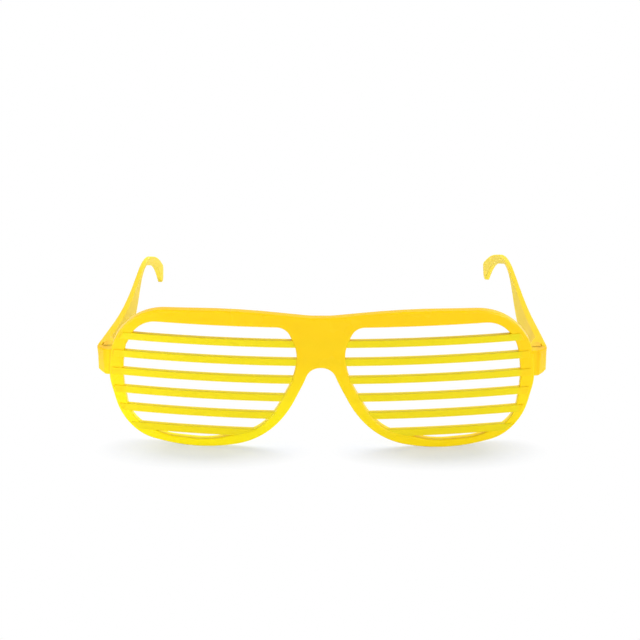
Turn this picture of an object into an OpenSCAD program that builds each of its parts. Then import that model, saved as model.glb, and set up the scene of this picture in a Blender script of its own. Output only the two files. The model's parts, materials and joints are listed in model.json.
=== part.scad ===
// Slatted party sunglasses, standing open on their rims and temple tips.
// One moulding makes both rims, the bridge, six slats across each eye and the end blocks.
// Each temple swings inward on a steel pin through its end block's two lugs.
// Millimetres. The front faces -Y, +X is to the right seen from the front, +Z is up.
// The origin is the middle of the footprint, on the surface that the glasses stand on.

/* [Eye openings] */
// Distance from the middle of the bridge to the middle of an eye opening
eye_x = 36.45; // [34:0.05:40]
// Width of an eye opening
opening_w = 57.5; // [52:0.5:62]
// Height of an eye opening
opening_h = 41.5; // [36:0.1:46]

/* [Rims and bridge] */
// Width of the rim beside the temple
rim_side = 4.7; // [3.5:0.1:6]
// Height of the brow bar above an eye opening
rim_brow = 4.9; // [4:0.1:6.5]
// Height of the rim below an eye opening
rim_foot = 2.75; // [2.2:0.05:4.5]
// Thickness of the rims and bridge, front to back
rim_t = 2.6; // [2.2:0.1:3.4]
// Radius that the front is wrapped to, seen from above
wrap_r = 297; // [240:1:400]
// Height of the top of the bridge above the surface
bridge_top = 47.5; // [44:0.1:49]
// Half of the straight top of the bridge
bridge_half = 3.5; // [2:0.1:5]
// Radius that blends the bridge into the brow
bridge_r = 27; // [10:1:40]
// Height of the nose arch above the surface
arch_top = 29.9; // [26:0.1:33]
// Half width of the nose arch at its shoulders
arch_half = 3.5; // [2.5:0.1:4.5]
// Radius of the nose arch's shoulders
arch_r = 4.9; // [2:0.1:7]

/* [Slats] */
// Number of slats across each eye
slat_count = 6; // [4:1:6]
// Distance from one slat to the next
slat_pitch = 6.46; // [5.8:0.01:6.6]
// Height of a slat
slat_h = 2.15; // [1.6:0.05:3]
// Thickness of a slat, front to back
slat_t = 1.8; // [1.4:0.1:2.2]
// Gap between the brow bar and the top slat
slat_first_gap = 4.9; // [4:0.05:6]
// How far the slats lie behind the bridge's face at the nose
slat_recess = 0.3; // [0.2:0.05:0.6]
// Radius that the slats are bowed to, flatter than the front so they stand proud at the temples
slat_bow_r = 323; // [300:1:345]
// How far the slats' ends, which lie over the rims, stop short of the outline
slat_setback = 1.1; // [0.6:0.1:2]

/* [End blocks and hinges] */
// How far an end block stands out past its rim
block_out = 4.1; // [3.6:0.1:6]
// Height of an end block
block_h = 9.2; // [8.6:0.1:12]
// Height of the top of an end block above the surface
block_top = 32.4; // [29:0.1:35]
// Depth of an end block, front to back
block_d = 3.8; // [3.6:0.1:5]
// How far an end block's face lies behind the rim's face
block_recess = 0.7; // [0.3:0.05:1]
// Width of the sloped outer corner of an end block
block_slope_w = 2.3; // [1:0.1:2.8]
// Depth of the sloped outer corner of an end block
block_slope_d = 2.7; // [1:0.1:3]
// Radius of an end block's edges, seen from the front
block_r = 1; // [0.4:0.1:1.6]
// How much the end block's side draws in towards its foot
block_draft = 0.6; // [0:0.1:1]
// Radius of the hinge lugs and of the temple's knuckle
knuckle_r = 1.7; // [1.5:0.05:1.9]
// Height of the temple's knuckle, between the two lugs
knuckle_h = 3.8; // [3:0.1:4.6]
// Distance from the hinge axis out to the temple's outer face
axis_inset = 3.6; // [3.3:0.1:4]
// Radius of the hinge pin
pin_r = 0.7; // [0.5:0.05:0.8]
// Thickness of plastic that closes the pin's hole at the top
pin_cap = 1; // [0.6:0.1:1.5]
// Depth that the pin is pushed in past the lower lug's face
pin_sunk = 0.3; // [0.1:0.1:0.8]

/* [Clearances] */
// Radial clearance of the temple's knuckle on its pin
pin_clearance = 0.05; // [0.02:0.01:0.1]
// Gap between the knuckle's ends and the lugs
knuckle_gap = 0.15; // [0.1:0.05:0.3]
// Gap between a temple's end and its end block when open
butt_gap = 0.1; // [0.05:0.05:0.3]
// Gap between a temple and the lugs that it swings round
lug_gap = 0.3; // [0.2:0.05:0.4]

/* [Temples] */
// Length of a temple, from the hinge axis to the end of its tip
temple_l = 133.5; // [124:0.1:144]
// Thickness of a temple just behind the hinge
arm_t = 2.5; // [2:0.1:2.8]
// Thickness of a temple at its neck, in front of the ear
neck_t = 1.6; // [1.2:0.1:2]
// Thickness of a temple's tip
tip_t = 1.8; // [1.4:0.1:2.6]
// How far a temple's hinge end is thickened inwards past the axis
head_in = 0.6; // [0.3:0.1:0.8]
// Length of the thickened hinge end, from the axis
head_l = 4; // [3:0.1:6]
// Length over which the hinge end blends into the arm
head_blend = 5; // [3:0.5:8]
// Distance from the hinge axis back to the dip in the arm's top edge
dip_at = 43.6; // [32:0.1:52]
// Depth of that dip below the neck's top
dip = 1.3; // [0.4:0.1:2]
// Distance from the hinge axis back to the arm's belly
belly_at = 49.3; // [42:0.1:56]
// How far the belly is drawn down below the neck, before rounding
belly_drop = 10.8; // [6:0.1:12]
// Radius of the belly, seen from the side
belly_r = 60; // [30:1:90]
// Distance from the hinge axis back to the front of the neck
neck_at = 78; // [72:0.1:82]
// Length of the neck along its underside
neck_l = 10.1; // [8:0.1:14]
// Height of the neck at the bend, before rounding
neck_h = 3.6; // [2.8:0.1:4.5]
// How far the neck's underside rises towards the arm, before rounding
neck_rise = 2.4; // [0:0.1:3]
// Height of the top of the neck above the surface
neck_top = 27.2; // [25:0.1:29]
// Radius of the bend behind the ear, over its top
bend_r = 64; // [40:1:80]
// Length of the tip's lower part, back from its heel
paddle_l = 16.7; // [14:0.1:20]
// Height of the heel's top edge above the surface
heel_top = 15.4; // [14:0.1:17]
// Height of the paddle at its heel
heel_h = 2.6; // [2.2:0.1:4]
// Height of the tip's rear corner above the surface
tip_rise = 5; // [4:0.1:8]
// Length of the tip's flat foot, before rounding
tip_foot_l = 3.2; // [1:0.1:4]
// Radius of the tip's corners
tip_r = 2.5; // [1:0.1:3]
// Angle that a temple leans inwards from square when it is fully open
temple_lean = 3; // [0:0.1:5]
// Sideways bow of the left temple, outwards at its middle
left_bow = -1.45; // [-1.5:0.05:1.5]
// Sideways bow of the right temple, outwards at its middle
right_bow = 0.85; // [-1.5:0.05:1.5]
// Angle that the right temple stands folded in, past its open stop
right_rest = 1.9; // [0:0.1:5]
// Height that the right temple's warp holds its tip above the surface
right_lift = 1.5; // [0:0.1:2]

/* [Hidden] */

plastic = [0.99, 0.85, 0.09];
steel = [0.72, 0.73, 0.75];

// Degrees of arc in one side of a rounded corner, and the fewest sides it gets
arc_step = 5;
arc_sides = 4;
// Reach of a cutting or clipping shape past what it cuts
over = 1;
// Sides of a drawn circle
$fn = 64;

// The eye opening and the rim round it, each as corners [across, up, radius].
// Across and up are shares of the half width and half height from the middle,
// and the radius is a share of the half height.
opening_shape = [
    [-0.879, 1.003, 0.225], [0.71, 1, 0.463], [0.942, 0.72, 0.706], [1.018, 0.051, 1.941],
    [0.937, -0.765, 0.529], [0.51, -0.988, 0.97], [0.025, -1.013, 1.474], [-0.53, -0.805, 0.861],
    [-0.73, -0.495, 1.577], [-0.962, 0.13, 1.364], [-1.014, 0.589, 0.674]
];
rim_shape = [
    [-0.30, 1.016, 7.8], [0.60, 0.96, 0.78], [0.967, 0.566, 0.86], [1.006, -0.084, 0.74],
    [0.904, -0.64, 0.757], [0.689, -0.906, 0.573], [0.121, -1.053, 2.41], [-0.492, -0.861, 1.06],
    [-0.761, -0.46, 1.43], [-0.925, 0, 1.76]
];

opening_mid = rim_foot + opening_h / 2;
rim_h = rim_foot + opening_h + rim_brow;
rim_half_w = opening_w / 2 + rim_side;
rim_x = eye_x + rim_half_w;
side_x = rim_x + block_out;

// How far back the wrapped face lies at a distance x from the middle
function wrap_y(x) = wrap_r - sqrt(wrap_r * wrap_r - x * x);

block_face_y = wrap_y(rim_x) + block_recess;
seam_y = block_face_y + block_d;
axis_x = side_x - axis_inset;
axis_y = seam_y + butt_gap + knuckle_r;
block_foot = block_top - block_h;
knuckle_z = block_foot + (block_h - knuckle_h) / 2;
slat_top_foot = rim_foot + opening_h - slat_first_gap - slat_h;

// Corners rounded by arcs

function unit(v) = v / norm(v);
function half_angle(a, b, c) = acos(max(-1, min(1, unit(a - b) * unit(c - b)))) / 2;
function at(list, i) = list[(i + len(list)) % len(list)];
function flat(p) = [p.x, p.y];
// Length that a corner's fillet asks for along each of its sides
function wanted(corners, i) =
    at(corners, i).z / tan(half_angle(flat(at(corners, i - 1)), flat(at(corners, i)), flat(at(corners, i + 1))));
// Share of that length that the side from corner i to the next has room for
function room(corners, i) =
    min(1, norm(flat(at(corners, i)) - flat(at(corners, i + 1)))
        / max(0.001, wanted(corners, i) + wanted(corners, i + 1)));
function arc(centre, r, from, turn, steps) =
    [for (i = [0:steps]) centre + r * [cos(from + turn * i / steps), sin(from + turn * i / steps)]];
function corner_arc(corners, i) =
    let (
        a = flat(at(corners, i - 1)),
        b = flat(at(corners, i)),
        c = flat(at(corners, i + 1)),
        half = half_angle(a, b, c),
        reach = wanted(corners, i) * min(room(corners, i - 1), room(corners, i)),
        r = reach * tan(half),
        centre = b + unit(unit(a - b) + unit(c - b)) * r / sin(half),
        start = b + unit(a - b) * reach - centre,
        side = cross(b - a, c - b) < 0 ? -1 : 1,
        turn = side * (180 - 2 * half),
        steps = max(arc_sides, ceil(abs(turn) / arc_step))
    )
    r < 0.001 ? [b] : arc(centre, r, atan2(start.y, start.x), turn, steps);
function rounded(corners) = [for (i = [0:len(corners) - 1]) each corner_arc(corners, i)];
function mirrored(corners) = [for (i = [len(corners) - 1:-1:0]) [-corners[i].x, corners[i].y, corners[i].z]];

// Outlines of the front, seen from the front

opening_corners = [for (p = opening_shape)
    [eye_x + p.x * opening_w / 2, opening_mid + p.y * opening_h / 2, p.z * opening_h / 2]];
rim_corners = [for (p = rim_shape)
    [eye_x + p.x * rim_half_w, (1 + p.y) * rim_h / 2, p.z * rim_h / 2]];
half_corners = concat([[bridge_half, bridge_top, bridge_r]], rim_corners, [[arch_half, arch_top, arch_r]]);
front_outline = rounded(concat(half_corners, mirrored(half_corners)));
front_foot = min([for (p = front_outline) p.y]);

module both_sides() {
    children();
    mirror([1, 0, 0]) children();
}

// Stands a flat outline up, facing front, as deep as the wrapped front needs
module stood(depth) {
    translate([0, depth, 0]) rotate([90, 0, 0]) linear_extrude(depth + over) children();
}

// A shell bowed about an upright axis, with its face at y = face in the middle
module bowed_shell(r, t, face) {
    translate([0, face + r, -over]) difference() {
        cylinder(r = r, h = rim_h + 2 * over);
        translate([0, 0, -over]) cylinder(r = r - t, h = rim_h + 4 * over);
    }
}

module rims() {
    intersection() {
        stood(seam_y) difference() {
            polygon(front_outline);
            both_sides() polygon(rounded(opening_corners));
        }
        bowed_shell(wrap_r, rim_t, 0);
    }
}

module slat_bars_2d() {
    for (i = [0:slat_count - 1])
        translate([0, slat_top_foot - i * slat_pitch]) square([side_x, slat_h]);
}

module slats() {
    intersection() {
        stood(seam_y) intersection() {
            both_sides() slat_bars_2d();
            offset(delta = -slat_setback) polygon(front_outline);
        }
        bowed_shell(slat_bow_r, slat_t, slat_recess);
    }
}

// An end block seen from above, reaching into the rim that carries it
block_root_x = rim_x - rim_side / 2;
block_plan = [
    [block_root_x, wrap_y(block_root_x) + block_recess, 0],
    [side_x - block_slope_w, block_face_y, block_r],
    [side_x, block_face_y + block_slope_d, block_r],
    [side_x, seam_y, 0],
    [axis_x - knuckle_r, seam_y, 0],
    [block_root_x, wrap_y(block_root_x) + rim_t, 0]
];
block_front = [
    [block_root_x, block_foot, 0],
    [side_x - block_draft, block_foot, block_r],
    [side_x, block_top, block_r / 2],
    [block_root_x, block_top, 0]
];

module end_block() {
    intersection() {
        translate([0, 0, block_foot - over]) linear_extrude(block_h + 2 * over) polygon(rounded(block_plan));
        stood(seam_y + over) polygon(rounded(block_front));
    }
}

module lug(foot, h) {
    translate([axis_x, axis_y, foot]) cylinder(r = knuckle_r, h = h);
    translate([axis_x - knuckle_r, seam_y - over, foot]) cube([2 * knuckle_r, axis_y - seam_y + over, h]);
}

module lugs() {
    lug(block_foot, knuckle_z - block_foot);
    lug(knuckle_z + knuckle_h, block_top - knuckle_z - knuckle_h);
}

pin_foot = block_foot + pin_sunk;
pin_top = block_top - pin_cap;

module pin_hole() {
    translate([axis_x, axis_y, block_foot - over]) cylinder(r = pin_r, h = pin_top - block_foot + over);
}

// Temple seen from the side, as corners [back from the axis, up, radius].
// The arm's belly hangs below a slim neck, then the tip bends down behind the ear to a flat paddle.

butt_y = -knuckle_r;
neck_foot = neck_top - neck_h;
neck_end = neck_at + neck_l;
heel_y = temple_l - paddle_l;
// Radius of the dip in the arm's top edge
dip_r = 200;
// How far the outside corners of the bend and of the heel lie from their inside ones
bend_lead = 0.2;
heel_lead = 2.3;
// How far the tip's end slopes forward on its way down to its foot
tip_slope = 2.6;
temple_corners = [
    [butt_y, block_top, 0],
    [dip_at, neck_top - dip, dip_r],
    [neck_end + bend_lead, neck_top, bend_r],
    [heel_y, heel_top, 2 * bend_r],
    [temple_l, tip_rise, tip_r],
    [temple_l - tip_slope, 0, tip_r],
    [temple_l - tip_slope - tip_foot_l, 0, tip_r],
    [heel_y - heel_lead, heel_top - heel_h, bend_r],
    [neck_end, neck_foot, bend_r / 2],
    [neck_at, neck_foot + neck_rise, bend_r],
    [belly_at, neck_foot - belly_drop, belly_r],
    [butt_y, block_foot, 0]
];
// The same outline with its tip lifted by a warp that starts at the hinge axis
function temple_side(lift) =
    rounded([for (p = temple_corners) [p.x, p.y + lift * max(0, p.x) / temple_l, p.z]]);

// Temple seen from above: its outer face, and its thickness along its length
function eased(s) = (1 - cos(180 * max(0, min(1, s)))) / 2;
function outer_x(y, bow) =
    let (s = max(0, y) / temple_l) axis_inset - tan(temple_lean) * max(0, y) + 4 * bow * s * (1 - s);
function arm_thickness(y) =
    y < neck_at ? arm_t + (neck_t - arm_t) * eased(y / neck_at)
                   : neck_t + (tip_t - neck_t) * eased((y - neck_at) / (temple_l - neck_at));
function head_extra(y) = (axis_inset + head_in - arm_t) * (1 - eased((y - head_l) / head_blend));
blend_steps = 6;
plan_steps = 32;
plan_ys = concat([butt_y, 0, head_l / 2, head_l],
    [for (i = [1:blend_steps]) head_l + head_blend * i / blend_steps],
    [for (i = [1:plan_steps]) head_l + head_blend + (temple_l + over - head_l - head_blend) * i / plan_steps]);
function temple_plan(bow) = concat(
    [for (y = plan_ys) [outer_x(y, bow), y]],
    [for (i = [len(plan_ys) - 1:-1:0]) [outer_x(plan_ys[i], bow) - arm_thickness(plan_ys[i])
        - head_extra(plan_ys[i]), plan_ys[i]]]);

// What the lugs and the knuckle's swing need clear at the temple's hinge end
module lug_room(foot, h) {
    clear_r = knuckle_r + lug_gap;
    translate([0, 0, foot]) cylinder(r = clear_r, h = h);
    translate([-axis_inset, -axis_inset, foot]) cube([axis_inset + clear_r, axis_inset, h]);
}

// A right-hand temple about its hinge axis, fully open
module temple(bow, lift) {
    difference() {
        union() {
            difference() {
                intersection() {
                    linear_extrude(block_top + over) polygon(temple_plan(bow));
                    translate([-temple_l, 0, 0]) rotate([90, 0, 90])
                        linear_extrude(2 * temple_l) polygon(temple_side(lift));
                }
                lug_room(-over, knuckle_z + knuckle_gap + over);
                lug_room(knuckle_z + knuckle_h - knuckle_gap, block_h);
                translate([-axis_inset, -axis_inset, 0]) cube([axis_inset, axis_inset, block_top]);
            }
            translate([0, 0, knuckle_z + knuckle_gap]) cylinder(r = knuckle_r, h = knuckle_h - 2 * knuckle_gap);
        }
        translate([0, 0, -over]) cylinder(r = pin_r + pin_clearance, h = block_top + 2 * over);
    }
}

// Sets a shape at its place, with the footprint's middle at the origin
depth = axis_y + max([for (p = temple_side(0)) p.x]);
module placed() {
    translate([0, -depth / 2, -front_foot]) children();
}

module front_frame() {
    color(plastic) placed() difference() {
        union() {
            rims();
            slats();
            both_sides() end_block();
            both_sides() lugs();
        }
        both_sides() pin_hole();
    }
}

module right_temple() {
    color(plastic) placed() translate([axis_x, axis_y, 0]) rotate([0, 0, right_rest]) temple(right_bow, right_lift);
}

module left_temple() {
    color(plastic) placed() mirror([1, 0, 0]) translate([axis_x, axis_y, 0]) temple(left_bow, 0);
}

module hinge_pin() {
    color(steel) placed() translate([axis_x, axis_y, pin_foot]) cylinder(r = pin_r, h = pin_top - pin_foot);
}

module right_hinge_pin() {
    hinge_pin();
}

module left_hinge_pin() {
    mirror([1, 0, 0]) hinge_pin();
}

front_frame();
left_temple();
right_temple();
left_hinge_pin();
right_hinge_pin();
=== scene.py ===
# %% [markdown]
# Slatted party sunglasses, step by step.
# The imported model gives the five solid pieces and their joints, and it stays as it is.
# Here we draw the front and both temples again as a toolmaker would polish them, with rounded
# edges and real plastic, and set each one exactly over its solid. The hinge pins keep their solids
# and get a steel finish. We keep the solids' box, because the dressed glasses have to stay the
# same size.

# %% Load the imported model
import json
import math

import bmesh
import bpy
from mathutils import Matrix, Vector

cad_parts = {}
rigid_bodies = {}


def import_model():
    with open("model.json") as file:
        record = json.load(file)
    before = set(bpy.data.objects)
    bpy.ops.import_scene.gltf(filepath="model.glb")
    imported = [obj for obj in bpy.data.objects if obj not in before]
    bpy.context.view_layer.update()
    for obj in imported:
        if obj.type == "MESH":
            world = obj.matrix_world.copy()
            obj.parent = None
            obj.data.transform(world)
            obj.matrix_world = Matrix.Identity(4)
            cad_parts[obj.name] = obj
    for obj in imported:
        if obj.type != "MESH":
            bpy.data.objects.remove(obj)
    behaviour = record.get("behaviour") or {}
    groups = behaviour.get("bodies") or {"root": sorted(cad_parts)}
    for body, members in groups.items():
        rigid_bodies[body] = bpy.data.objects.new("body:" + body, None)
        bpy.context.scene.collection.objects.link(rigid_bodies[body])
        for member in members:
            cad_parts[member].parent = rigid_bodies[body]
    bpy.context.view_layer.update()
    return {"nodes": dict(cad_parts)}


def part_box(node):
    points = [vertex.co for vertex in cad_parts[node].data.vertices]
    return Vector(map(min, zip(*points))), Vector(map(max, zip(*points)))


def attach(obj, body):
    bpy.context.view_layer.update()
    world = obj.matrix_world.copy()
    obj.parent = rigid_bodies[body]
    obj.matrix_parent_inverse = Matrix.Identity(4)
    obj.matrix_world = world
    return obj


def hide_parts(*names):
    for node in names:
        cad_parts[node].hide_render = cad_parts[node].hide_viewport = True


for leftover in list(bpy.data.objects):
    bpy.data.objects.remove(leftover)
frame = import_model()

# %% [markdown]
# Units and place.
# The glasses are drawn in millimetres, with the bridge's front foot at the origin, which suits a
# designer's drawing. One last step scales each piece to metres and sets it where its solid stands.

# %% Units and place
MM = 0.001
FRONT_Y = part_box("front_frame")[0].y


def settle(bm, rise):
    """Turns a drawing in millimetres into metres, in its solid's place."""
    bmesh.ops.translate(bm, vec=(0, 0, rise), verts=bm.verts)
    bmesh.ops.scale(bm, vec=(MM, MM, MM), verts=bm.verts)
    bmesh.ops.translate(bm, vec=(0, FRONT_Y, 0), verts=bm.verts)


# %% [markdown]
# Rounded outlines.
# A moulding's outline is easiest to draw as a few corners, each with its own radius.
# A vertex bevel rounds a corner of a flat face. Its curve is a little flatter than a circle's,
# so we push the new points out to the true arc. Where two roundings would run into each other,
# both give way by the same share.

# %% How far each rounding reaches
ARC_STEP = math.radians(4)
FEWEST_SIDES = 4
NEARLY_ALL = 0.9999
SMALLEST = 0.02


def fillets(corners):
    """Each corner's half angle, and how far its rounding reaches along its two sides."""
    points = [Vector(corner[:2]) for corner in corners]
    count = len(points)
    halves = []
    wanted = []
    for i, corner in enumerate(corners):
        before = points[i - 1] - points[i]
        after = points[(i + 1) % count] - points[i]
        halves.append(before.angle(after) / 2)
        wanted.append(corner[2] / math.tan(halves[i]))
    room = []
    for i in range(count):
        side = (points[i] - points[(i + 1) % count]).length
        room.append(min(1, side / max(SMALLEST, wanted[i] + wanted[(i + 1) % count])))
    return [(halves[i], wanted[i] * min(room[i - 1], room[i])) for i in range(count)]


# %% Draw an outline
def outline(bm, corners, place):
    """Adds a flat face with rounded corners. place turns (across, up) into a point."""
    points = [place(across, up) for across, up, radius in corners]
    verts = [bm.verts.new(point) for point in points]
    bm.faces.new(verts)
    for i, (half, reach) in enumerate(fillets(corners)):
        if reach < SMALLEST:
            continue
        before = (points[i - 1] - points[i]).normalized()
        after = (points[(i + 1) % len(points)] - points[i]).normalized()
        centre = points[i] + (before + after).normalized() * reach / math.cos(half)
        radius = reach * math.tan(half)
        sides = max(FEWEST_SIDES, math.ceil((math.pi - 2 * half) / ARC_STEP))
        arc = bmesh.ops.bevel(bm, geom=[verts[i]], offset=reach * NEARLY_ALL, segments=sides,
                              profile=0.5, affect="VERTICES", material=-1)["verts"]
        for v in arc:
            v.co = centre + (v.co - centre).normalized() * radius
    bmesh.ops.remove_doubles(bm, verts=bm.verts, dist=SMALLEST)


def standing(across, up):
    """Seen from the front."""
    return Vector((across, 0, up))


# %% [markdown]
# From a drawing to a moulding.
# Every piece follows the same order: extrude the flat drawing, round its edges while it is still
# flat, slice it into strips, and only then bend it. Bevelling first keeps the roundings even,
# because the strips' cuts don't get in their way.

# %% Thicken, round and slice
def thicken(bm, direction):
    """Extrudes every face of a flat drawing into a solid."""
    result = bmesh.ops.extrude_face_region(bm, geom=bm.faces[:])
    moved = [item for item in result["geom"] if isinstance(item, bmesh.types.BMVert)]
    bmesh.ops.translate(bm, vec=direction, verts=moved)
    bmesh.ops.recalc_face_normals(bm, faces=bm.faces)


EDGE_ANGLE = math.radians(40)
SNAP = 0.03
WELD = 0.001


def round_edges(bm, radius, segments, where=None):
    """Rounds the sharp edges, or those of them whose points are all where the test says."""
    edges = [e for e in bm.edges if len(e.link_faces) == 2 and e.calc_face_angle() > EDGE_ANGLE]
    if where:
        edges = [e for e in edges if all(where(v.co) for v in e.verts)]
    bmesh.ops.bevel(bm, geom=edges, offset=radius, segments=segments, profile=0.5,
                    affect="EDGES", clamp_overlap=False, material=-1)
    return len(edges)


def slice_along(bm, axis, start, stop, step):
    """Cuts the mesh into strips, so that it can be bent smoothly."""
    normal = Vector((0, 0, 0))
    normal[axis] = 1
    for i in range(1, math.ceil((stop - start) / step)):
        everything = bm.verts[:] + bm.edges[:] + bm.faces[:]
        bmesh.ops.bisect_plane(bm, geom=everything, dist=SNAP, use_snap_center=True,
                               plane_co=normal * (start + i * step), plane_no=normal)


# %% Cut and join solids
def solid(bm, name):
    """Makes an object of a drawing, for a boolean."""
    mesh = bpy.data.meshes.new(name)
    bm.to_mesh(mesh)
    bm.free()
    shape = bpy.data.objects.new(name, mesh)
    bpy.context.scene.collection.objects.link(shape)
    return shape


def combine(shape, other, how):
    """Applies one boolean and removes the other shape."""
    step = shape.modifiers.new("combine", "BOOLEAN")
    step.operation = how
    step.object = other
    step.solver = "EXACT"
    evaluated = shape.evaluated_get(bpy.context.evaluated_depsgraph_get())
    mesh = bpy.data.meshes.new_from_object(evaluated)
    shape.modifiers.clear()
    shape.data = mesh
    bpy.data.objects.remove(other)


def unpacked(shape):
    """Takes the mesh of a finished boolean back as a drawing."""
    bm = bmesh.new()
    bm.from_mesh(shape.data)
    bpy.data.objects.remove(shape)
    bmesh.ops.remove_doubles(bm, verts=bm.verts, dist=WELD)
    return bm


def open_edges(bm):
    """How many edges don't join exactly two faces. A closed solid has none."""
    return sum(len(e.link_faces) != 2 for e in bm.edges)


# %% [markdown]
# The rims and bridge.
# The real front is one plastic moulding, curved round the face like a piece cut from a wide tube.
# We draw it flat, and cut the two eye openings through it while it is still a straight slab.
# The wrap's radius is 297 mm, so the ends lie about 9 mm behind the bridge.
# In the photograph the plastic looks a little wider than its plain solid. So here the brow is
# 0.4 mm deeper, and the sides and feet of the rims are 0.1 mm wider.

# %% Sizes of the front
EYE_X = 36.45
OPENING_W = 57.3
OPENING_H = 41.2
RIM_SIDE = 4.8
RIM_BROW = 5.3
RIM_FOOT = 2.85
RIM_T = 2.6
WRAP_R = 297
BRIDGE_CORNER = (3.5, 47.65, 27)
ARCH_CORNER = (3.5, 29.9, 4.9)
BLOCK_OUT = 4.1
OPENING_MID = RIM_FOOT + OPENING_H / 2
RIM_H = RIM_FOOT + OPENING_H + RIM_BROW
RIM_HALF_W = OPENING_W / 2 + RIM_SIDE
RIM_X = EYE_X + RIM_HALF_W
SIDE_X = RIM_X + BLOCK_OUT
BEND_STRIP = 2
REAR_EDGE_R = 0.15
REAR_EDGE_STEPS = 3
FACE_EDGE_R = 0.55
FACE_EDGE_STEPS = 6

# %% Outlines of the front
# Across and up are shares of the half width and half height, the radius one of the half height
OPENING_SHAPE = [
    (-0.879, 1.003, 0.225), (0.71, 1, 0.463), (0.942, 0.72, 0.706), (1.018, 0.051, 1.941),
    (0.937, -0.765, 0.529), (0.51, -0.988, 0.97), (0.025, -1.013, 1.474), (-0.53, -0.805, 0.861),
    (-0.73, -0.495, 1.577), (-0.962, 0.13, 1.364), (-1.014, 0.589, 0.674),
]
RIM_SHAPE = [
    (-0.30, 1.016, 7.8), (0.60, 0.96, 0.78), (0.967, 0.566, 0.86), (1.006, -0.084, 0.74),
    (0.904, -0.64, 0.757), (0.689, -0.906, 0.573), (0.121, -1.053, 2.41), (-0.492, -0.861, 1.06),
    (-0.761, -0.46, 1.43), (-0.925, 0, 1.76),
]


def mirrored(corners):
    return [(-across, up, radius) for across, up, radius in reversed(corners)]


opening_corners = [(EYE_X + across * OPENING_W / 2, OPENING_MID + up * OPENING_H / 2,
                    radius * OPENING_H / 2) for across, up, radius in OPENING_SHAPE]
rim_corners = [(EYE_X + across * RIM_HALF_W, (1 + up) * RIM_H / 2, radius * RIM_H / 2)
               for across, up, radius in RIM_SHAPE]
half_corners = [BRIDGE_CORNER] + rim_corners + [ARCH_CORNER]
front_corners = half_corners + mirrored(half_corners)
print("front drawn from", len(front_corners), "corners,", "opening from", len(opening_corners))


# %% Model the rims and bridge
def wrap(bm, radius, face):
    """Bends a flat front about an upright axis. A point's y is its depth behind the face."""
    for v in bm.verts:
        depth = v.co.y
        v.co.y = face + radius - math.sqrt((radius - depth) ** 2 - v.co.x ** 2)


def slab(corners, face, depth):
    """A flat drawing as a solid, from its face backwards."""
    bm = bmesh.new()
    outline(bm, corners, standing)
    bmesh.ops.translate(bm, vec=(0, face, 0), verts=bm.verts)
    thicken(bm, (0, depth, 0))
    return solid(bm, "slab")


def make_rims():
    whole = slab(front_corners, 0, RIM_T)
    for corners in (opening_corners, mirrored(opening_corners)):
        combine(whole, slab(corners, -RIM_T, 3 * RIM_T), "DIFFERENCE")
    bm = unpacked(whole)
    rounded = round_edges(bm, REAR_EDGE_R, REAR_EDGE_STEPS, lambda co: co.y > RIM_T - SMALLEST)
    rounded += round_edges(bm, FACE_EDGE_R, FACE_EDGE_STEPS, lambda co: co.y < SMALLEST)
    slice_along(bm, 0, -SIDE_X, SIDE_X, BEND_STRIP)
    wrap(bm, WRAP_R, 0)
    print("rims:", rounded, "edges rounded,", len(bm.faces), "faces,", open_edges(bm), "open edges")
    return bm


rims = make_rims()
GROUND = -min(v.co.z for v in rims.verts)
print("the rims' lowest point is raised by", round(GROUND, 4), "mm")

# %% [markdown]
# The slats.
# Each slat is a thin bar that bows a little flatter than the rims. So its middle lies behind the
# bridge's face, and its far end stands proud over the rim beside the temple.
# Its shape is the front's own outline, drawn in by about a millimetre and cut to a band.
# The bars look a little thicker in the photograph than their plain solids, so each one is spread
# by 0.15 mm above and below.

# %% Model the slats
SLAT_COUNT = 6
SLAT_PITCH = 6.46
SLAT_H = 2.15
SLAT_T = 1.8
SLAT_FIRST_GAP = 4.7
SLAT_BOW_R = 323
SLAT_RECESS = 0.3
SLAT_SETBACK = 1.1
SLAT_SPREAD = 0.15
SLAT_EDGE_R = 0.12
SLAT_EDGE_STEPS = 3
ON_PLANE = 0.0001
ON_CUT = 0.001
CUT_ROOM = 0.4
TOP_SLAT_FOOT = RIM_FOOT + OPENING_H - SLAT_FIRST_GAP - SLAT_H


def make_slat(foot):
    """One slat. Points of its end too near a cut would fold the rounding, so they are dissolved."""
    bm = bmesh.new()
    outline(bm, front_corners, standing)
    ring = bmesh.ops.inset_region(bm, faces=bm.faces[:], thickness=SLAT_SETBACK,
                                  use_boundary=True, use_even_offset=True)["faces"]
    bmesh.ops.delete(bm, geom=ring, context="FACES")
    for height, outside in ((foot - SLAT_SPREAD, -1), (foot + SLAT_H + SLAT_SPREAD, 1)):
        everything = bm.verts[:] + bm.edges[:] + bm.faces[:]
        bmesh.ops.bisect_plane(bm, geom=everything, dist=ON_PLANE, plane_co=(0, 0, height),
                               plane_no=(0, 0, outside), clear_outer=True)
        near = [v for v in bm.verts if ON_CUT < abs(v.co.z - height) < CUT_ROOM]
        bmesh.ops.dissolve_verts(bm, verts=near)
    thicken(bm, (0, SLAT_T, 0))
    round_edges(bm, SLAT_EDGE_R, SLAT_EDGE_STEPS)
    slice_along(bm, 0, -SIDE_X, SIDE_X, BEND_STRIP)
    wrap(bm, SLAT_BOW_R, SLAT_RECESS)
    return bm


slats = [make_slat(TOP_SLAT_FOOT - i * SLAT_PITCH) for i in range(SLAT_COUNT)]
print("slats' faces", [len(bm.faces) for bm in slats])

# %% [markdown]
# The end blocks and hinge lugs.
# A chunky block stands out beside each rim. Its outer corner is cut to a slope, its side draws in
# towards the foot so that it leaves the mould, and two round lugs behind it hold the hinge pin.
# We draw the block from above, raise it, lean its side and round each edge.

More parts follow.
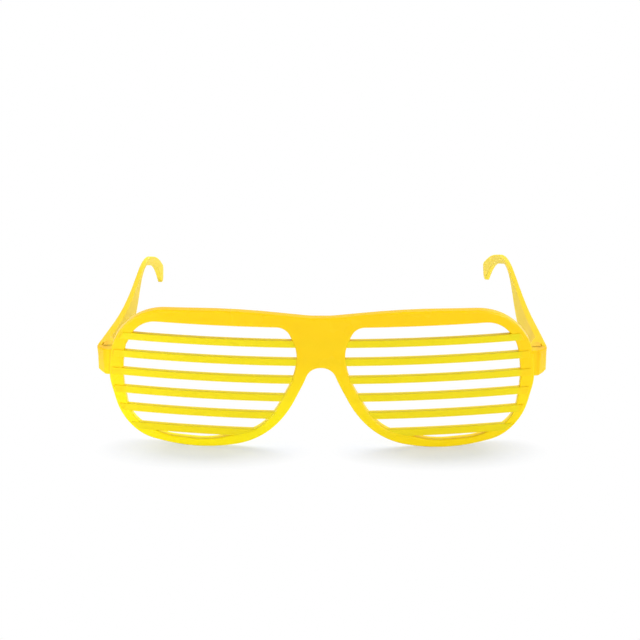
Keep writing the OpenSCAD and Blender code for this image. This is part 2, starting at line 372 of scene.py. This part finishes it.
# %% Sizes of the end blocks and hinges
BLOCK_H = 9.2
BLOCK_TOP = 32.4
BLOCK_D = 3.8
BLOCK_RECESS = 0.7
BLOCK_SLOPE_W = 2.3
BLOCK_SLOPE_D = 2.7
BLOCK_DRAFT = 0.6
BLOCK_CORNER_R = 1
BLOCK_FOOT_R = 0.8
BLOCK_TOP_R = 0.4
BLOCK_EDGE_STEPS = 5
LEVEL_EDGE_ANGLE = 0.7
BLOCK_FOOT = BLOCK_TOP - BLOCK_H
KNUCKLE_R = 1.7
KNUCKLE_H = 3.8
KNUCKLE_Z = BLOCK_FOOT + (BLOCK_H - KNUCKLE_H) / 2
PIN_R = 0.7
AXIS_INSET = 3.6
BUTT_GAP = 0.1
LUG_ROOT = 1
LUG_EDGE_R = 0.2
LUG_EDGE_STEPS = 2


def wrapped_y(x):
    """How far back the wrapped face lies at a distance x from the middle."""
    return WRAP_R - math.sqrt(WRAP_R ** 2 - x ** 2)


BLOCK_FACE_Y = wrapped_y(RIM_X) + BLOCK_RECESS
SEAM_Y = BLOCK_FACE_Y + BLOCK_D
AXIS_X = SIDE_X - AXIS_INSET
AXIS_Y = SEAM_Y + BUTT_GAP + KNUCKLE_R
ROOT_X = RIM_X - RIM_SIDE / 2
print("hinge axis at", round(AXIS_X, 2), round(AXIS_Y, 3), "mm")

# %% Model an end block and its lugs
block_corners = [
    (ROOT_X, wrapped_y(ROOT_X) + BLOCK_RECESS, 0),
    (SIDE_X - BLOCK_SLOPE_W, BLOCK_FACE_Y, BLOCK_CORNER_R),
    (SIDE_X, BLOCK_FACE_Y + BLOCK_SLOPE_D, BLOCK_CORNER_R), (SIDE_X, SEAM_Y, 0),
    (AXIS_X - KNUCKLE_R, SEAM_Y, 0), (ROOT_X, wrapped_y(ROOT_X) + RIM_T, 0),
]


def round_level(bm, height, radius):
    """Rounds the sharp edges that lie at one height."""
    edges = [e for e in bm.edges if e.calc_face_angle() > LEVEL_EDGE_ANGLE
             and all(abs(v.co.z - height) < SMALLEST for v in e.verts)]
    bmesh.ops.bevel(bm, geom=edges, offset=radius, segments=BLOCK_EDGE_STEPS, profile=0.5,
                    affect="EDGES", material=-1)


def make_block():
    bm = bmesh.new()
    outline(bm, block_corners, lambda x, y: Vector((x, y, BLOCK_FOOT)))
    thicken(bm, (0, 0, BLOCK_H))
    for v in bm.verts:
        reach = max(0, (v.co.x - RIM_X) / BLOCK_OUT)
        v.co.x -= BLOCK_DRAFT * reach * (BLOCK_TOP - v.co.z) / BLOCK_H
    round_level(bm, BLOCK_FOOT, BLOCK_FOOT_R)
    round_level(bm, BLOCK_TOP, BLOCK_TOP_R)
    return bm


def make_lug(foot, height):
    """One round lug with the web that joins it to the block, drawn from above."""
    bm = bmesh.new()
    near = SEAM_Y - LUG_ROOT
    far = AXIS_Y + KNUCKLE_R
    corners = [(AXIS_X - KNUCKLE_R, near, 0), (AXIS_X + KNUCKLE_R, near, 0),
               (AXIS_X + KNUCKLE_R, far, KNUCKLE_R), (AXIS_X - KNUCKLE_R, far, KNUCKLE_R)]
    outline(bm, corners, lambda x, y: Vector((x, y, foot)))
    thicken(bm, (0, 0, height))
    round_edges(bm, LUG_EDGE_R, LUG_EDGE_STEPS)
    return bm


# %% Join and mirror drawings
def joined(meshes):
    """Puts several drawings into one, each still a closed shell."""
    whole = bmesh.new()
    for bm in meshes:
        mesh = bpy.data.meshes.new("drawing")
        bm.to_mesh(mesh)
        whole.from_mesh(mesh)
        bpy.data.meshes.remove(mesh)
        bm.free()
    return whole


def mirror_x(bm):
    """Turns a right-hand drawing into a left-hand one."""
    bmesh.ops.scale(bm, vec=(-1, 1, 1), verts=bm.verts)
    bmesh.ops.reverse_faces(bm, faces=bm.faces)
    return bm


def hinge_end():
    return joined([make_block(), make_lug(BLOCK_FOOT, KNUCKLE_Z - BLOCK_FOOT),
                   make_lug(KNUCKLE_Z + KNUCKLE_H, BLOCK_TOP - KNUCKLE_Z - KNUCKLE_H)])


# %% [markdown]
# The temples.
# Seen from the side, the real arm has a belly, a slim neck and a tip that bends down behind the
# ear. Seen from above, it leans in, thins towards the neck and bows a little. So we draw the side
# view flat, thicken it, round its edges, and then bend it sideways.

# %% Sizes of the temples
TEMPLE_L = 133.5
ARM_T = 2.5
NECK_T = 1.6
TIP_T = 1.8
NECK_TOP = 27.2
NECK_H = 3.6
NECK_FOOT = NECK_TOP - NECK_H
NECK_AT = 78
NECK_L = 10.1
NECK_END = NECK_AT + NECK_L
NECK_SKEW = 0.2
NECK_FLARE = 2.4
BACK_AT = 43.6
BACK_DIP = 1.3
BACK_R = 200
BELLY_AT = 49.3
BELLY_DROP = 10.8
BELLY_R = 60
HEEL_L = 16.7
HEEL_Y = TEMPLE_L - HEEL_L
HEEL_TOP = 15.4
HEEL_SKEW = 2.3
HEEL_H = 2.6
BEND_R = 64
TIP_TOP = 5
TIP_SLOPE = 2.6
TIP_W = 3.2
TIP_R = 2.5
ARM_EDGE_R = 0.5
ARM_EDGE_STEPS = 5
ARM_STRIP = 1.5
HEAD_IN = 0.6
HEAD_L = 4
HEAD_BLEND = 5
LEAN = math.radians(3)
LEFT_BOW = -1.45
RIGHT_BOW = 0.85
RIGHT_REST = math.radians(1.9)
RIGHT_LIFT = 1.5

temple_corners = [
    (-KNUCKLE_R, BLOCK_TOP, 0), (BACK_AT, NECK_TOP - BACK_DIP, BACK_R),
    (NECK_END + NECK_SKEW, NECK_TOP, BEND_R), (HEEL_Y, HEEL_TOP, 2 * BEND_R),
    (TEMPLE_L, TIP_TOP, TIP_R), (TEMPLE_L - TIP_SLOPE, 0, TIP_R),
    (TEMPLE_L - TIP_SLOPE - TIP_W, 0, TIP_R), (HEEL_Y - HEEL_SKEW, HEEL_TOP - HEEL_H, BEND_R),
    (NECK_END, NECK_FOOT, BEND_R / 2), (NECK_AT, NECK_FOOT + NECK_FLARE, BEND_R),
    (BELLY_AT, NECK_FOOT - BELLY_DROP, BELLY_R), (-KNUCKLE_R, BLOCK_FOOT, 0),
]


# %% Thickness and bow along a temple
def eased(share):
    """Goes from 0 to 1 with a soft start and end."""
    return (1 - math.cos(math.pi * max(0, min(1, share)))) / 2


def outer_x(y, bow):
    share = max(0, y) / TEMPLE_L
    return AXIS_INSET - math.tan(LEAN) * max(0, y) + 4 * bow * share * (1 - share)


def arm_thickness(y):
    if y < NECK_AT:
        arm = ARM_T + (NECK_T - ARM_T) * eased(y / NECK_AT)
    else:
        arm = NECK_T + (TIP_T - NECK_T) * eased((y - NECK_AT) / (TEMPLE_L - NECK_AT))
    head = AXIS_INSET + HEAD_IN - ARM_T
    return arm + head * (1 - eased((y - HEAD_L) / HEAD_BLEND))


def make_arm(bow, lift):
    """The bent arm, before its hinge end is cut."""
    bm = bmesh.new()
    corners = [(y, z + lift * max(0, y) / TEMPLE_L, r) for y, z, r in temple_corners]
    outline(bm, corners, lambda y, z: Vector((0, y, z)))
    thicken(bm, (ARM_T, 0, 0))
    round_edges(bm, ARM_EDGE_R, ARM_EDGE_STEPS)
    slice_along(bm, 1, -KNUCKLE_R, TEMPLE_L, ARM_STRIP)
    for v in bm.verts:
        share = v.co.x / ARM_T
        v.co.x = outer_x(v.co.y, bow) - (1 - share) * arm_thickness(v.co.y)
    return bm


# %% [markdown]
# The hinge end.
# The arm's end is cut away above and below, which leaves one knuckle between the front's two lugs.
# Round cutters with exact booleans make clean walls there, and the pin's hole goes through it.

# %% Round and square cutters
ROD_SIDES = 64


def rod(radius, foot, height):
    bm = bmesh.new()
    bmesh.ops.create_circle(bm, cap_ends=True, radius=radius, segments=ROD_SIDES)
    bmesh.ops.translate(bm, vec=(0, 0, foot), verts=bm.verts)
    thicken(bm, (0, 0, height))
    return solid(bm, "rod")


def brick(low, high):
    bm = bmesh.new()
    bmesh.ops.create_cube(bm, size=1)
    bmesh.ops.scale(bm, vec=Vector(high) - Vector(low), verts=bm.verts)
    bmesh.ops.translate(bm, vec=(Vector(low) + Vector(high)) / 2, verts=bm.verts)
    return solid(bm, "brick")


# %% Model a temple
KNUCKLE_GAP = 0.15
LUG_GAP = 0.3
PIN_CLEARANCE = 0.05
CUT_SPARE = 2
CUT_MARGIN = 0.1
CUT_BELOW = BLOCK_FOOT - CUT_SPARE
CUT_ABOVE = BLOCK_TOP + CUT_SPARE


def make_temple(bow, lift):
    swing = KNUCKLE_R + LUG_GAP
    low = KNUCKLE_Z + KNUCKLE_GAP
    high = KNUCKLE_Z + KNUCKLE_H - KNUCKLE_GAP
    edge = -AXIS_INSET - CUT_MARGIN
    arm = solid(make_arm(bow, lift), "arm")
    combine(arm, rod(swing, CUT_BELOW, low - CUT_BELOW), "DIFFERENCE")
    combine(arm, rod(swing, high, CUT_ABOVE - high), "DIFFERENCE")
    combine(arm, brick((edge, edge, CUT_BELOW), (swing, 0, low)), "DIFFERENCE")
    combine(arm, brick((edge, edge, high), (swing, 0, CUT_ABOVE)), "DIFFERENCE")
    combine(arm, brick((edge, edge, CUT_BELOW), (0, 0, CUT_ABOVE)), "DIFFERENCE")
    combine(arm, rod(KNUCKLE_R, low, high - low), "UNION")
    combine(arm, rod(PIN_R + PIN_CLEARANCE, CUT_BELOW, CUT_ABOVE - CUT_BELOW), "DIFFERENCE")
    bm = unpacked(arm)
    print("temple:", len(bm.faces), "faces,", open_edges(bm), "open edges")
    return bm


right_temple = make_temple(RIGHT_BOW, RIGHT_LIFT)
bmesh.ops.rotate(right_temple, verts=right_temple.verts, cent=(0, 0, 0),
                 matrix=Matrix.Rotation(RIGHT_REST, 3, "Z"))
left_temple = mirror_x(make_temple(LEFT_BOW, 0))
bmesh.ops.translate(right_temple, vec=(AXIS_X, AXIS_Y, 0), verts=right_temple.verts)
bmesh.ops.translate(left_temple, vec=(-AXIS_X, AXIS_Y, 0), verts=left_temple.verts)

# %% [markdown]
# Materials: helpers.
# Colours are written as hex values, matched to the photograph by measuring both
# pictures, and Blender wants linear light.
# One small function adds a shader node with its settings and its links, and no more.

# %% Material helpers
def srgb(hex_colour):
    """A hex colour as linear light."""
    parts = [int(hex_colour[i:i + 2], 16) / 255 for i in (1, 3, 5)]
    return [p / 12.92 if p <= 0.04045 else ((p + 0.055) / 1.055) ** 2.4 for p in parts] + [1]


def node(tree, kind, settings=None, values=None, links=None):
    """Adds a node: settings are its properties, values and links go to its sockets."""
    new = tree.nodes.new(kind)
    for name, value in (settings or {}).items():
        setattr(new, name, value)
    for socket, value in (values or {}).items():
        new.inputs[socket].default_value = value
    for socket, source in (links or {}).items():
        tree.links.new(source, new.inputs[socket])
    return new


def fresh(name, base):
    """A new material, and its tree and shader with the plain values set."""
    material = bpy.data.materials.new(name)
    material.use_nodes = True
    tree = material.node_tree
    shader = tree.nodes["Principled BSDF"]
    for socket, value in base.items():
        shader.inputs[socket].default_value = value
    return material, tree, shader


# %% [markdown]
# Polypropylene.
# The front and the temples are polypropylene, injection moulded in a polished steel mould.
# It is waxy and slightly see-through, so light softens inside it, and its gloss is broken by a
# faint ripple like orange peel. The ripple is about 0.8 mm across and only a few microns deep.
# The pigment is never perfectly even either, so the yellow drifts a little over 15 mm or so.

# %% The ripple and drift that all the plastic shares
RIPPLE_MM = 0.8
RIPPLE_DEPTH_MM = 0.004
RIPPLE_STRENGTH = 0.35
DRIFT_MM = 15
DRIFT_LOW = 0.35
DRIFT_HIGH = 0.65


def per_metre(size_mm):
    """How often a pattern of that size repeats in a metre."""
    return 1 / (size_mm * MM)


def polish(tree, shader, smoothest, roughest):
    """Links a drifting gloss and a fine ripple to the shader. Returns the place and the drift."""
    place = node(tree, "ShaderNodeTexCoord")
    drift = node(tree, "ShaderNodeTexNoise", values={"Scale": per_metre(DRIFT_MM), "Detail": 3},
                 links={"Vector": place.outputs["Object"]})
    gloss = node(tree, "ShaderNodeMapRange", values={"From Min": DRIFT_LOW, "From Max": DRIFT_HIGH,
                 "To Min": smoothest, "To Max": roughest}, links={"Value": drift.outputs["Fac"]})
    ripple = node(tree, "ShaderNodeTexNoise", values={"Scale": per_metre(RIPPLE_MM), "Detail": 1},
                  links={"Vector": place.outputs["Object"]})
    bump = node(tree, "ShaderNodeBump", links={"Height": ripple.outputs["Fac"]},
                values={"Strength": RIPPLE_STRENGTH, "Distance": RIPPLE_DEPTH_MM * MM})
    tree.links.new(gloss.outputs["Result"], shader.inputs["Roughness"])
    tree.links.new(bump.outputs["Normal"], shader.inputs["Normal"])
    return place, drift


POLYPROPYLENE = {
    "IOR": 1.49, "Specular IOR Level": 0.2, "Subsurface Weight": 0.12,
    "Subsurface Radius": (1, 0.75, 0.12), "Subsurface Scale": 1.2 * MM,
}

# %% [markdown]
# Rim colour, with painted shade and painted light.
# The end blocks are painted a deeper orange: painted shade, for the shade on their recessed faces.
# The rims are painted paler towards their slim feet, the left rim most: painted light, for the
# brighter light from the lower left.

# %% Rims, bridge and end blocks: painted shade and painted light
def blend(tree, first, second, share):
    """Mixes two colours by a share that a socket gives."""
    mix = node(tree, "ShaderNodeMix", settings={"data_type": "RGBA"})
    for spot, colour in ((6, first), (7, second)):
        if isinstance(colour, str):
            mix.inputs[spot].default_value = srgb(colour)
        else:
            tree.links.new(colour, mix.inputs[spot])
    tree.links.new(share, mix.inputs[0])
    return mix.outputs[2]


def parted(tree, place):
    """The place's X, Y and Z."""
    return node(tree, "ShaderNodeSeparateXYZ", links={"Vector": place.outputs["Object"]}).outputs


def aside(tree, parts):
    """How far to either side of the middle the place is."""
    return node(tree, "ShaderNodeMath", settings={"operation": "ABSOLUTE"},
                links={0: parts["X"]}).outputs["Value"]


def ramp(tree, measure, start_mm, stop_mm, least=0):
    """Rises from the least to 1 as the measure goes from start to stop."""
    rise = node(tree, "ShaderNodeMapRange", links={"Value": measure},
                values={"From Min": start_mm * MM, "From Max": stop_mm * MM, "To Min": least})
    return rise.outputs["Result"]


# Painted light: the rims are painted paler towards their feet, and more on the left than the right.
PAINTED_LIGHT_FROM_Z = 32
PAINTED_LIGHT_TO_Z = 12
PAINTED_LIGHT_FROM_X = 12
PAINTED_LIGHT_TO_X = -10
RIGHT_PAINTED_LIGHT = 0.5
# Painted shade: beyond these distances from the middle, the end blocks are painted a deeper orange.
PAINTED_SHADE_FROM_X = 70
PAINTED_SHADE_TO_X = 71
rim_plastic, tree, shader = fresh("polypropylene, polished mould", POLYPROPYLENE)
place, drift = polish(tree, shader, smoothest=0.2, roughest=0.3)
parts = parted(tree, place)
# Painted light: the share of the paler yellow grows downwards and towards the left.
painted_light_share = node(tree, "ShaderNodeMath", settings={"operation": "MULTIPLY"},
              links={0: ramp(tree, parts["Z"], PAINTED_LIGHT_FROM_Z, PAINTED_LIGHT_TO_Z),
                     1: ramp(tree, parts["X"], PAINTED_LIGHT_FROM_X, PAINTED_LIGHT_TO_X, RIGHT_PAINTED_LIGHT)})
colour_so_far = blend(tree, "#FFCD02", "#FFD404", drift.outputs["Fac"])
# Painted shade: the end blocks get the deeper orange here.
colour_so_far = blend(tree, colour_so_far, "#FFC600", ramp(tree, aside(tree, parts), PAINTED_SHADE_FROM_X, PAINTED_SHADE_TO_X))
with_painted_light = blend(tree, colour_so_far, "#FFE908", painted_light_share.outputs["Value"])
tree.links.new(with_painted_light, shader.inputs["Base Color"])

# %% [markdown]
# Thin plastic.
# A slat is less than 2 mm thick, so more light comes through it and its yellow looks greener and
# paler than the thick bridge's. Over the rims the slats are part of the thick plastic again.
# The temples are painted paler from the hinge towards the tip: painted light, for the light
# that falls on the arm's rear and shines through its thinning plastic.

# %% Thin plastic: the slats
RIM_FROM_X = 64
RIM_TO_X = 66
slat_plastic, tree, shader = fresh("polypropylene, thin bars", POLYPROPYLENE)
place, drift = polish(tree, shader, smoothest=0.28, roughest=0.38)
parts = parted(tree, place)
thin = blend(tree, "#EED80C", "#F2DC12", drift.outputs["Fac"])
over_rim = blend(tree, thin, "#FFD406", ramp(tree, aside(tree, parts), RIM_FROM_X, RIM_TO_X))
tree.links.new(over_rim, shader.inputs["Base Color"])

# %% The temples, painted paler towards the tip
PAINTED_LIGHT_FROM_Y = -55
PAINTED_LIGHT_TO_Y = 20
temple_plastic, tree, shader = fresh("polypropylene arm, painted paler to the tip",
                                     POLYPROPYLENE | {"Specular IOR Level": 0.15})
place, drift = polish(tree, shader, smoothest=0.5, roughest=0.6)
parts = parted(tree, place)
colour_so_far = blend(tree, "#FFD31C", "#FFD924", drift.outputs["Fac"])
# Painted light: the arm's yellow pales from the hinge towards the neck.
with_painted_rear_light = blend(tree, colour_so_far, "#FFDE38", ramp(tree, parts["Y"], PAINTED_LIGHT_FROM_Y, PAINTED_LIGHT_TO_Y))
tree.links.new(with_painted_rear_light, shader.inputs["Base Color"])

# %% [markdown]
# Steel.
# The hinge pins are bright steel wire, drawn through a die. Drawing leaves fine scratches along
# the wire, which we stretch into long thin noise. They are under 0.05 mm wide on the real wire,
# and are drawn 0.15 mm wide here so that they show.

# %% Drawn steel wire
SCRATCH_MM = 0.15
SCRATCH_STRETCH = 0.04
pin_steel, tree, shader = fresh("drawn steel wire", {"Metallic": 1, "Base Color": srgb("#C4C6C9")})
place = node(tree, "ShaderNodeTexCoord")
stretch = node(tree, "ShaderNodeMapping", values={"Scale": (1, 1, SCRATCH_STRETCH)},
               links={"Vector": place.outputs["Object"]})
scratches = node(tree, "ShaderNodeTexNoise", values={"Scale": per_metre(SCRATCH_MM), "Detail": 2},
                 links={"Vector": stretch.outputs["Vector"]})
worn = node(tree, "ShaderNodeMapRange", values={"To Min": 0.2, "To Max": 0.42},
            links={"Value": scratches.outputs["Fac"]})
tree.links.new(worn.outputs["Result"], shader.inputs["Roughness"])
for pin in ("left_hinge_pin", "right_hinge_pin"):
    frame["nodes"][pin].data.materials.clear()
    frame["nodes"][pin].data.materials.append(pin_steel)
print("materials:", [m.name for m in (rim_plastic, slat_plastic, temple_plastic, pin_steel)])

# %% [markdown]
# Dress the glasses.
# Each drawing becomes one object that rides on its body, so it swings with its hinge.
# Weighted normals keep the flat faces flat and let the small roundings shade smoothly.

# %% Finish a piece
SHARP = math.radians(35)


def finish_piece(name, bm, materials, body, replaced):
    for edge in bm.edges:
        edge.smooth = len(edge.link_faces) != 2 or edge.calc_face_angle() < SHARP
    mesh = bpy.data.meshes.new(name)
    bm.to_mesh(mesh)
    bm.free()
    for material in materials:
        mesh.materials.append(material)
    for face in mesh.polygons:
        face.use_smooth = True
    piece = bpy.data.objects.new(name, mesh)
    bpy.context.scene.collection.objects.link(piece)
    weigh = piece.modifiers.new("even shading", "WEIGHTED_NORMAL")
    weigh.keep_sharp = True
    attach(piece, body)
    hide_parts(replaced)
    print(name, len(mesh.polygons), "faces")


# %% Put the pieces in place
for bm in slats:
    for face in bm.faces:
        face.material_index = 1
front = joined([rims] + slats + [hinge_end(), mirror_x(hinge_end())])
for bm in (front, left_temple, right_temple):
    settle(bm, GROUND)
finish_piece("front_moulding", front, [rim_plastic, slat_plastic], "front",
             "front_frame")
finish_piece("left_arm_moulding", left_temple, [temple_plastic], "left_arm",
             "left_temple")
finish_piece("right_arm_moulding", right_temple, [temple_plastic], "right_arm",
             "right_temple")

# %% [markdown]
# The camera.
# The photograph was taken from about 0.7 m away, 24 degrees above and a little to the right of
# the middle, with a long lens. These values come from fitting the glasses' outline to it.

# %% Camera
IMAGE_SIDE = 640
FOCAL_PIXELS = 2047.9
SENSOR_MM = 36
CAMERA_TURN = math.radians(1.2575)
CAMERA_TILT = math.radians(23.9114)
CAMERA_ROLL = math.radians(-0.3366)
CAMERA_SPOT = Vector((12.976, -599.959, 313.237))

camera_data = bpy.data.cameras.new("camera")
camera_data.sensor_width = SENSOR_MM
camera_data.lens = FOCAL_PIXELS / IMAGE_SIDE * SENSOR_MM
camera_data.clip_start = 0.01
camera_data.clip_end = 20
camera = bpy.data.objects.new("camera", camera_data)
bpy.context.scene.collection.objects.link(camera)
bpy.context.scene.camera = camera
look = Vector((-math.sin(CAMERA_TURN) * math.cos(CAMERA_TILT),
               math.cos(CAMERA_TURN) * math.cos(CAMERA_TILT), -math.sin(CAMERA_TILT)))
across = Vector((math.cos(CAMERA_TURN), math.sin(CAMERA_TURN), 0))
axes = Matrix((across, across.cross(look), -look)).transposed()
camera.matrix_world = (axes @ Matrix.Rotation(CAMERA_ROLL, 3, "Z")).to_4x4()
camera.location = CAMERA_SPOT * MM + Vector((0, FRONT_Y, 0))
print("camera", [round(v, 4) for v in camera.location], "lens", round(camera_data.lens, 2))

# %% [markdown]
# The white sweep.
# A product photograph's white comes from overlit paper. We keep the light on the glasses plain, and
# let the paper turn towards plain white where the camera or a reflection looks at it. Only round
# the foot of each rim, in an oval 72 by 28 mm, does it keep part of its own shading, so the soft
# shadow shows there.

# %% Floor
def seen(tree):
    """1 where the camera, a reflection or light through a clear piece looks, or else 0."""
    rays = node(tree, "ShaderNodeLightPath")
    total = rays.outputs["Is Camera Ray"]
    for kind in ("Is Glossy Ray", "Is Transmission Ray"):
        more = node(tree, "ShaderNodeMath", settings={"operation": "ADD", "use_clamp": True},
                    links={0: total, 1: rays.outputs[kind]})
        total = more.outputs["Value"]
    return total


FLOOR_SIZE = 3
NEAR_WHITE = 0.38
NEAR_REACH = 0.35
FOOT_X = 39 * MM
SHADE_W = 36 * MM
SHADE_D = 14 * MM
floor_bm = bmesh.new()
bmesh.ops.create_grid(floor_bm, x_segments=2, y_segments=2, size=FLOOR_SIZE)
floor_mesh = bpy.data.meshes.new("floor")
floor_bm.to_mesh(floor_mesh)
floor_bm.free()
floor = bpy.data.objects.new("floor", floor_mesh)
bpy.context.scene.collection.objects.link(floor)
paper, tree, shader = fresh("matt cool white paper", {"Base Color": srgb("#E7EFFF"),
                            "Roughness": 0.9, "Specular IOR Level": 0})
place = node(tree, "ShaderNodeTexCoord")
parts = parted(tree, place)
spot = node(tree, "ShaderNodeCombineXYZ", links={"X": aside(tree, parts), "Y": parts["Y"]})
from_foot = node(tree, "ShaderNodeVectorMath", settings={"operation": "SUBTRACT"},
                 values={1: (FOOT_X, FRONT_Y, 0)}, links={0: spot.outputs["Vector"]})
in_shades = node(tree, "ShaderNodeVectorMath", settings={"operation": "DIVIDE"},
                 values={1: (SHADE_W, SHADE_D, 1)}, links={0: from_foot.outputs["Vector"]})
away = node(tree, "ShaderNodeVectorMath", settings={"operation": "LENGTH"},
            links={0: in_shades.outputs["Vector"]})
farther = node(tree, "ShaderNodeMapRange", values={"From Min": NEAR_REACH, "From Max": 1},
               links={"Value": away.outputs["Value"]})
level = node(tree, "ShaderNodeMapRange", values={"To Min": NEAR_WHITE},
             links={"Value": farther.outputs["Result"]})
share = node(tree, "ShaderNodeMath", settings={"operation": "MULTIPLY"},
             links={0: seen(tree), 1: level.outputs["Result"]})
white = node(tree, "ShaderNodeEmission", values={"Strength": 1})
both = node(tree, "ShaderNodeMixShader", links={0: share.outputs["Value"], 1: shader.outputs[0],
                                                2: white.outputs[0]})
tree.links.new(both.outputs[0], tree.nodes["Material Output"].inputs["Surface"])
floor_mesh.materials.append(paper)

# %% [markdown]
# Studio light.
# A white room gives even light from all sides, and four softboxes add to it. A large low one stands
# at the right. A small one close at the left makes the left rim lighter than the right one. One
# hangs overhead and throws the soft shadow, and a small one behind lights the temples' inner sides.
# The last two are kept out of reflections, because the real plastic shows no glare from them.

# %% World
ROOM_LIGHT = 0.3
WHITE = (1, 1, 1, 1)
world = bpy.data.worlds.new("studio")
bpy.context.scene.world = world
world.use_nodes = True
tree = world.node_tree
room = tree.nodes["Background"]
room.inputs["Color"].default_value = WHITE
room.inputs["Strength"].default_value = ROOM_LIGHT
white = node(tree, "ShaderNodeBackground", values={"Color": WHITE, "Strength": 1})
mixed = node(tree, "ShaderNodeMixShader",
             links={0: seen(tree), 1: room.outputs[0], 2: white.outputs[0]})
tree.links.new(mixed.outputs[0], tree.nodes["World Output"].inputs["Surface"])


# %% Softboxes
AIM = Vector((0, 0, 0.025))
# Each has a name, a place and a side in metres, a power in watts, and whether reflections see it
SOFTBOXES = [
    ("left softbox", (-0.2, -0.16, 0.04), 0.08, 0.14, True),
    ("right softbox", (0.9, -0.9, 0.25), 0.6, 9.5, True),
    ("top softbox", (0, 0.2, 1), 0.6, 6.5, False),
    ("back softbox", (-0.03, 0.33, 0.06), 0.06, 0.7, False),
]
for name, place, side, power, in_gloss in SOFTBOXES:
    lamp_data = bpy.data.lights.new(name, "AREA")
    lamp_data.shape = "RECTANGLE"
    lamp_data.size = side
    lamp_data.size_y = side
    lamp_data.energy = power
    lamp = bpy.data.objects.new(name, lamp_data)
    bpy.context.scene.collection.objects.link(lamp)
    lamp.location = place
    lamp.rotation_euler = (AIM - Vector(place)).to_track_quat("-Z", "Y").to_euler()
    lamp.visible_camera = False
    lamp.visible_glossy = in_gloss
print("softboxes:", len(SOFTBOXES))

# %% [markdown]
# Finish.
# The Standard view transform keeps colours as they are written.

# %% Finish
bpy.context.scene.view_settings.view_transform = "Standard"
